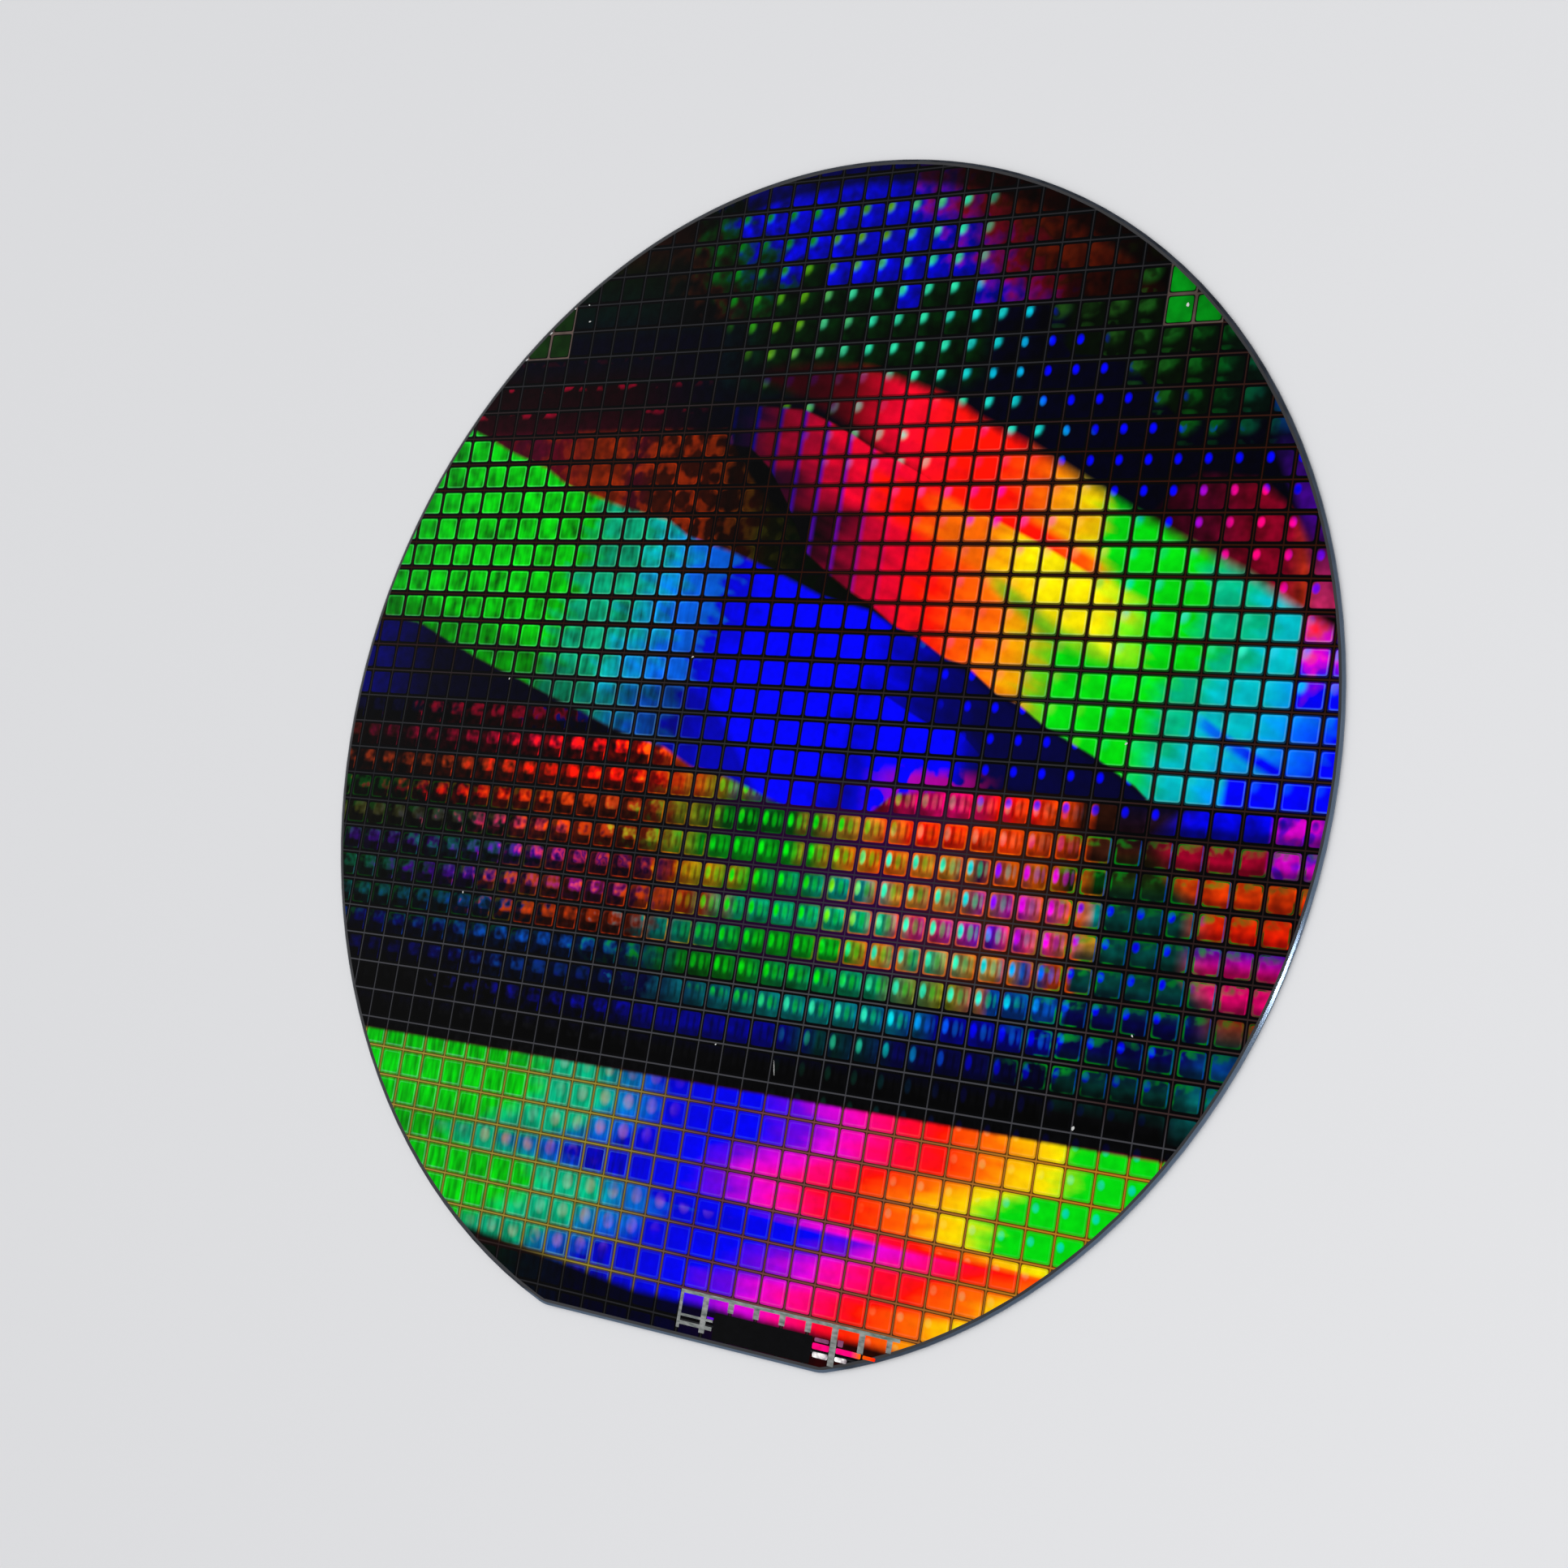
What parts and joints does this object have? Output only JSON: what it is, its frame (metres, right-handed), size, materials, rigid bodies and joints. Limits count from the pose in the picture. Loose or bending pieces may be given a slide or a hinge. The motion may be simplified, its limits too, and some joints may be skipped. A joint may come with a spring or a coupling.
{
  "type": "silicon wafer",
  "caption": "Thin round silicon slice with one straight flat and a bevelled edge, covered in a grid of patterned integrated-circuit dies.",
  "frame": {"origin": "centre of the round outline on the back face", "axes": "+Z out of the device face, the primary flat faces -Y"},
  "size_m": [0.2, 0.1958, 0.0007],
  "materials": {
    "silicon": "polished device face with thin-film colours, ground bevel, etched grey back"
  },
  "bodies": {
    "root": {"wafer": "silicon"}
  },
  "joints": []
}
